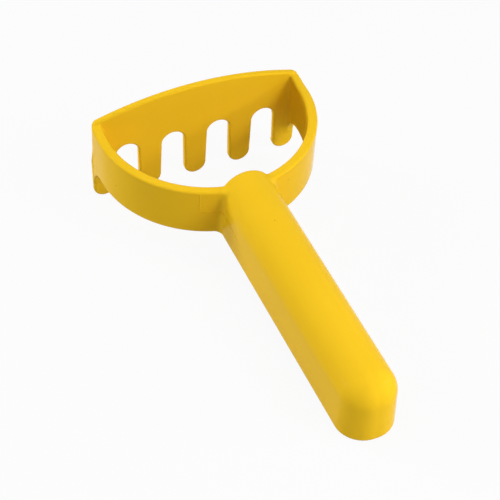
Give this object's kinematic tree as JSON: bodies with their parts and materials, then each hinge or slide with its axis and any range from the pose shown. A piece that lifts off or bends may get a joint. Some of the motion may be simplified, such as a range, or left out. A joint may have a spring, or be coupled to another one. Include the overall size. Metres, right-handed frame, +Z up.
{
  "type": "toy rake",
  "caption": "Toy sand rake: upright crowned blade with round-ended tines, a curved bow and a hollow half-round handle. Drags and combs loose sand.",
  "frame": {"origin": "middle of the object's box in plan, at the height of the tine tips", "axes": "+Y from the handle's end towards the blade, along the handle; +Z up, away from the tine tips, square to the rim; +X to the right seen from the handle's end"},
  "size_m": [0.1, 0.1862, 0.0529],
  "materials": {
    "yellow_plastic": "smooth moulded polypropylene, medium gloss"
  },
  "bodies": {
    "root": {"blade": "yellow_plastic", "tine_1": "yellow_plastic", "tine_2": "yellow_plastic", "tine_3": "yellow_plastic", "tine_4": "yellow_plastic", "tine_5": "yellow_plastic", "bow_left": "yellow_plastic", "bow_right": "yellow_plastic", "handle_neck": "yellow_plastic", "handle_grip": "yellow_plastic"}
  },
  "joints": []
}
